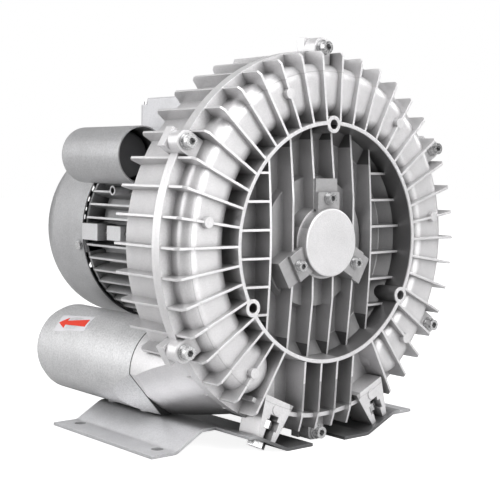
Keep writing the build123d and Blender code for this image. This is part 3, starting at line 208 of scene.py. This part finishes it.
def finish_of(
    name,
    colour,
    tint=0.05,
    metallic=0.0,
    rough=(0.4, 0.5),
    cloud=45,
    grain=900,
    speckle=0.0,
    bump=0.15,
    depth=0.3,
    soft_edge=0.0,
    stretch=(1, 1, 1),
    shade=0.0,
    reach=25,
    marks_and_shade=None,
):
    """Surface with cloudy colour, uneven roughness, and a grain that stands up."""
    material = bpy.data.materials.new(name)
    material.use_nodes = True
    tree = material.node_tree
    shader = tree.nodes["Principled BSDF"]
    shader.inputs["Metallic"].default_value = metallic
    broad = noise(tree, cloud, 4, stretch)
    fine = noise(tree, grain, 3, stretch)
    dark = [c * (1 - tint) for c in colour]
    pale = [min(1, c * (1 + tint)) for c in colour]
    look = ramp(tree, broad, [(0.3, dark), (0.7, pale)])
    if speckle:
        look = multiply(tree, look, spread(tree, fine, 1 - speckle, 1.0))
    # Painted shade in the hollows.
    if shade:
        look = multiply(tree, look, recess_shade(tree, shade, reach))
    # Marks, with painted shade: the mould line and dish shade on the cover, the shade under the casing
    # on the feet.
    if marks_and_shade:
        look = multiply(tree, look, marks_and_shade(tree))
    tree.links.new(look, shader.inputs["Base Color"])
    tree.links.new(spread(tree, fine, *rough), shader.inputs["Roughness"])
    relief = add(tree, "ShaderNodeBump", Strength=bump, Distance=depth * MM)
    tree.links.new(fine, relief.inputs["Height"])
    if soft_edge:
        edge = add(tree, "ShaderNodeBevel", Radius=soft_edge * MM)
        edge.samples = 4
        tree.links.new(edge.outputs["Normal"], relief.inputs["Normal"])
    tree.links.new(relief.outputs["Normal"], shader.inputs["Normal"])
    return material


def finishes():
    """One finish for each material slot of the record."""
    return {
        "cast_cover": finish_of(
            "cast_cover", (0.86, 0.85, 0.86), metallic=0.55, rough=(0.30, 0.44), grain=900,
            speckle=0.14, bump=0.4, soft_edge=0.7, shade=0.66, reach=24, marks_and_shade=cover_line_and_shade,
        ),
        "motor_casting": finish_of(
            "motor_casting", (0.76, 0.76, 0.77), metallic=0.55, rough=(0.32, 0.48), grain=900,
            speckle=0.16, bump=0.35, soft_edge=0.5, shade=0.8, reach=14,
        ),
        "silencer_casting": finish_of(
            "silencer_casting", (0.84, 0.84, 0.85), metallic=0.55, rough=(0.28, 0.42), grain=650,
            speckle=0.26, bump=0.7, depth=0.45, shade=0.62, reach=28,
        ),
        "foot_sheet": finish_of(
            "foot_sheet", (0.93, 0.93, 0.95), metallic=0.5, rough=(0.30, 0.42), grain=800,
            speckle=0.16, bump=0.35, soft_edge=0.5, shade=0.7, reach=30, marks_and_shade=foot_shade,
        ),
        "fan_cover_sheet": finish_of(
            "fan_cover_sheet", (0.58, 0.58, 0.59), metallic=0.6, rough=(0.34, 0.46), grain=650,
            speckle=0.22, bump=0.6, depth=0.4, shade=0.8, reach=25,
        ),
        "can_sheet": finish_of(
            "can_sheet", (0.58, 0.58, 0.59), metallic=0.6, rough=(0.32, 0.46), grain=650,
            speckle=0.24, bump=0.6, depth=0.4, shade=0.8, reach=25,
        ),
        "box_paint": finish_of(
            "box_paint", (0.74, 0.74, 0.76), metallic=0.45, rough=(0.36, 0.48), grain=800,
            speckle=0.12, bump=0.35, soft_edge=0.6, shade=0.7, reach=20,
        ),
        "zinc_screws": finish_of(
            "zinc_screws", (0.74, 0.74, 0.745), metallic=0.95, rough=(0.20, 0.34), grain=1500,
            bump=0.1, soft_edge=0.3, shade=0.93, reach=4,
        ),
        "bearing_steel": finish_of(
            "bearing_steel", (0.60, 0.60, 0.60), metallic=1.0, rough=(0.16, 0.26), grain=2500,
            bump=0.06, stretch=(1, 12, 1),
        ),
        "laminations": finish_of(
            "laminations", (0.34, 0.35, 0.37), metallic=0.9, rough=(0.36, 0.5), grain=700,
            bump=0.3, stretch=(0.1, 6, 0.1),
        ),
        "copper_wire": finish_of(
            "copper_wire", (0.55, 0.24, 0.09), metallic=0.9, rough=(0.28, 0.4), grain=600,
            bump=0.6, stretch=(1, 3, 1),
        ),
        "impeller_casting": finish_of(
            "impeller_casting", (0.62, 0.62, 0.63), metallic=0.85, rough=(0.3, 0.42), grain=1000,
        ),
        "black_plastic": finish_of(
            "black_plastic", (0.022, 0.022, 0.024), rough=(0.42, 0.55), grain=1600, bump=0.12,
        ),
        "terminal_plastic": finish_of(
            "terminal_plastic", (0.22, 0.17, 0.11), rough=(0.4, 0.52), grain=1300,
        ),
        "capacitor_case": finish_of(
            "capacitor_case", (0.13, 0.13, 0.135), rough=(0.35, 0.5), grain=700, bump=0.08,
            shade=0.8, reach=30,
        ),
        "rubber_seal": finish_of(
            "rubber_seal", (0.02, 0.02, 0.02), rough=(0.55, 0.7), grain=1800, bump=0.2,
        ),
        "sound_foam": finish_of(
            "sound_foam", (0.06, 0.06, 0.065), rough=(0.85, 0.95), grain=420, bump=0.9, depth=1.2,
        ),
    }


def paint_nodes(looks):
    """Gives every CAD node the finish of its slot in the record."""
    for part in frame["record"]["subparts"]:
        node = nodes[part["node"]]
        if not node.material_slots:
            node.data.materials.append(None)
        for slot in node.material_slots:
            slot.link = "OBJECT"
            slot.material = looks[part["material_slot"]]


# ------------------------------------------------------------ detail pieces


def piece(name, verts, faces, material, smooth=True):
    """Mesh object that rides on the housing."""
    mesh = bpy.data.meshes.new(name)
    mesh.from_pydata([tuple(v) for v in verts], [], faces)
    mesh.materials.append(material)
    mesh.update()
    for face in mesh.polygons:
        face.use_smooth = smooth
    made = bpy.data.objects.new(name, mesh)
    bpy.context.scene.collection.objects.link(made)
    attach(made, "housing")


LABEL_ANGLE = 133.8  # middle of the label, round the silencer from +X towards +Z
LABEL_Y = 92 * MM  # middle of the label along the shaft axis
LABEL_L = 46.5 * MM
LABEL_W = 18 * MM
LABEL_TURN = radians(7.5)


def on_silencer(along, over, lift):
    """Point on the outlet silencer, from the label's middle along it and across it."""
    u = along * cos(LABEL_TURN) - over * sin(LABEL_TURN)
    v = along * sin(LABEL_TURN) + over * cos(LABEL_TURN)
    angle = radians(LABEL_ANGLE) + v / SIL_R
    radius = SIL_R + lift
    x = -SIL_X + radius * cos(angle)
    return Vector((x, LABEL_Y + u, SIL_H + radius * sin(angle)))


def wrapped(name, outline, lift, material):
    """Flat outline laid round the silencer as a thin patch."""
    flat = bmesh.new()
    face = flat.faces.new([flat.verts.new((u, v, 0)) for u, v in outline])
    face.normal_update()
    low = min(v for _, v in outline)
    high = max(v for _, v in outline)
    cuts = 16
    for k in range(1, cuts):
        level = low + (high - low) * k / cuts
        every = flat.verts[:] + flat.edges[:] + flat.faces[:]
        bmesh.ops.bisect_plane(flat, geom=every, plane_co=(0, level, 0), plane_no=(0, 1, 0))
    flat.verts.index_update()
    points = [on_silencer(v.co.x, v.co.y, lift) for v in flat.verts]
    faces = [[v.index for v in f.verts] for f in flat.faces]
    flat.free()
    piece(name, points, faces, material)


def flow_arrow():
    """Pale label with a red arrow that points to the outlet's port."""
    paper = finish_of(
        "label_paper", (0.80, 0.79, 0.82), tint=0.02, rough=(0.3, 0.4), grain=500, bump=0.05
    )
    red = finish_of(
        "arrow_red", (0.86, 0.052, 0.022), tint=0.04, rough=(0.3, 0.42), grain=500, bump=0.05
    )
    half_l, half_w = LABEL_L / 2, LABEL_W / 2
    corner = 1.2 * MM
    label = []
    for x, y, start in (
        (half_l - corner, half_w - corner, 0),
        (corner - half_l, half_w - corner, 90),
        (corner - half_l, corner - half_w, 180),
        (half_l - corner, corner - half_w, 270),
    ):
        for k in range(5):
            a = radians(start + 22.5 * k)
            label.append((x + corner * cos(a), y + corner * sin(a)))
    wrapped("flow_label", label, 0.12 * MM, paper)
    tail, neck, tip = 3 * MM - half_l, half_l - 13 * MM, half_l - 1.5 * MM
    wide, narrow, head = 4.3 * MM, 2.2 * MM, half_w - 3 * MM
    arrow = [
        (tail, -wide), (neck, -narrow), (neck, -head), (tip, 0),
        (neck, head), (neck, narrow), (tail, wide),
    ]
    wrapped("flow_arrow", arrow, 0.2 * MM, red)


RIM_STEPS = 96  # corners round the rim
# Radius and distance behind the joint, in mm.
RIM_SECTION = [(65, 213), (82, 213), (83, 214), (83, 215), (82, 216), (65, 216)]


def shield_rim(material):
    """Thin rim of the rear end shield, between the frame's fins and the fan cover."""
    verts, faces = [], []
    count = len(RIM_SECTION)
    for step in range(RIM_STEPS):
        turn = 2 * pi * step / RIM_STEPS
        for radius, y in RIM_SECTION:
            verts.append((radius * MM * cos(turn), JOINT_Y + y * MM, SHAFT_H + radius * MM * sin(turn)))
        following = (step + 1) % RIM_STEPS
        for k in range(count):
            beside = (k + 1) % count
            faces.append((step * count + k, step * count + beside,
                          following * count + beside, following * count + k))
    piece("shield_rim", verts, faces, material, smooth=False)


# ----------------------------------------------------------- floor and light


def floor():
    size = 6.0
    corners = [(-size, -size, 0), (size, -size, 0), (size, size, 0), (-size, size, 0)]
    mesh = bpy.data.meshes.new("floor")
    mesh.from_pydata(corners, [], [(0, 1, 2, 3)])
    look = bpy.data.materials.new("floor")
    look.use_nodes = True
    tree = look.node_tree
    shader = tree.nodes["Principled BSDF"]
    shader.inputs["Base Color"].default_value = (0.55, 0.55, 0.55, 1)
    shader.inputs["Roughness"].default_value = 0.8
    shader.inputs["Specular IOR Level"].default_value = 0.1
    # The table looks white to the camera, and lights the blower only as pale paper does.
    shader.inputs["Emission Color"].default_value = (1, 1, 1, 1)
    path = add(tree, "ShaderNodeLightPath")
    glow = add(tree, "ShaderNodeMath", operation="MULTIPLY")
    glow.inputs[1].default_value = 0.9
    tree.links.new(path.outputs["Is Camera Ray"], glow.inputs[0])
    tree.links.new(glow.outputs["Value"], shader.inputs["Emission Strength"])
    mesh.materials.append(look)
    plane = bpy.data.objects.new("floor", mesh)
    plane.location = (0, 0, -0.0004)
    bpy.context.scene.collection.objects.link(plane)


def softbox(name, azimuth, height, distance, width, power):
    """Square area light that looks at the middle of the blower."""
    light = bpy.data.lights.new(name, "AREA")
    light.shape = "SQUARE"
    light.size = width
    light.energy = power
    lamp = bpy.data.objects.new(name, light)
    a, e = radians(azimuth), radians(height)
    towards = Vector((sin(a) * cos(e), -cos(a) * cos(e), sin(e)))
    lamp.location = Vector((0, 0, SHAFT_H)) + towards * distance
    lamp.rotation_euler = towards.to_track_quat("Z", "Y").to_euler()
    bpy.context.scene.collection.objects.link(lamp)


def light_up():
    """White for the camera, and for the blower a dim room with a pale ceiling."""
    world = bpy.data.worlds.new("studio")
    bpy.context.scene.world = world
    world.use_nodes = True
    tree = world.node_tree
    seen = tree.nodes["Background"]
    seen.inputs["Color"].default_value = (1, 1, 1, 1)
    seen.inputs["Strength"].default_value = 1.0
    place = add(tree, "ShaderNodeTexCoord")
    split = add(tree, "ShaderNodeSeparateXYZ")
    tree.links.new(place.outputs["Generated"], split.inputs["Vector"])
    height = add(tree, "ShaderNodeMapRange")
    height.inputs["From Min"].default_value = -0.4
    height.inputs["From Max"].default_value = 1.0
    tree.links.new(split.outputs["Z"], height.inputs["Value"])
    room = ramp(
        tree,
        height.outputs["Result"],
        [(0.0, (0.05, 0.05, 0.05)), (0.3, (0.16, 0.16, 0.16)), (1.0, (0.9, 0.9, 0.9))],
    )
    fill = add(tree, "ShaderNodeBackground", Strength=0.62)
    tree.links.new(room, fill.inputs["Color"])
    path = add(tree, "ShaderNodeLightPath")
    mix = add(tree, "ShaderNodeMixShader")
    tree.links.new(path.outputs["Is Camera Ray"], mix.inputs["Fac"])
    tree.links.new(fill.outputs["Background"], mix.inputs[1])
    tree.links.new(seen.outputs["Background"], mix.inputs[2])
    tree.links.new(mix.outputs["Shader"], tree.nodes["World Output"].inputs["Surface"])
    softbox("front_light", 4, 18, 1.7, 1.4, 20)
    softbox("top_light", -20, 66, 1.4, 1.0, 9)
    softbox("left_light", -118, 18, 1.5, 1.2, 13)
    softbox("right_light", 70, 25, 1.7, 0.8, 8)


# ------------------------------------------------------------------- camera

VIEW_SIDE = radians(39.92)  # how far the camera stands to the left of the cover's axis
VIEW_RISE = radians(4.13)
VIEW_ROLL = radians(0.73)
VIEW_DISTANCE = 953.24 * MM
VIEW_RIGHT = 48.77 * MM  # the shaft's end lies this far right of the picture's middle
VIEW_UP = 7.6 * MM
LENS = 82.57


def camera():
    data = bpy.data.cameras.new("camera")
    data.sensor_width = 36
    data.lens = LENS
    data.clip_start = 0.05
    eye = bpy.data.objects.new("camera", data)
    bpy.context.scene.collection.objects.link(eye)
    back = Vector(
        (-sin(VIEW_SIDE) * cos(VIEW_RISE), -cos(VIEW_SIDE) * cos(VIEW_RISE), sin(VIEW_RISE))
    )
    level = Vector((cos(VIEW_SIDE), -sin(VIEW_SIDE), 0))
    upright = back.cross(level)
    right = cos(VIEW_ROLL) * level + sin(VIEW_ROLL) * upright
    up = cos(VIEW_ROLL) * upright - sin(VIEW_ROLL) * level
    middle = Vector((0, JOINT_Y, SHAFT_H))
    place = middle - right * VIEW_RIGHT - up * VIEW_UP + back * VIEW_DISTANCE
    turn = Matrix((right, up, back)).transposed().to_4x4()
    eye.matrix_world = Matrix.Translation(place) @ turn
    bpy.context.scene.camera = eye


looks = finishes()
paint_nodes(looks)
flow_arrow()
shield_rim(looks["motor_casting"])
floor()
light_up()
camera()
bpy.context.scene.view_settings.view_transform = "Standard"
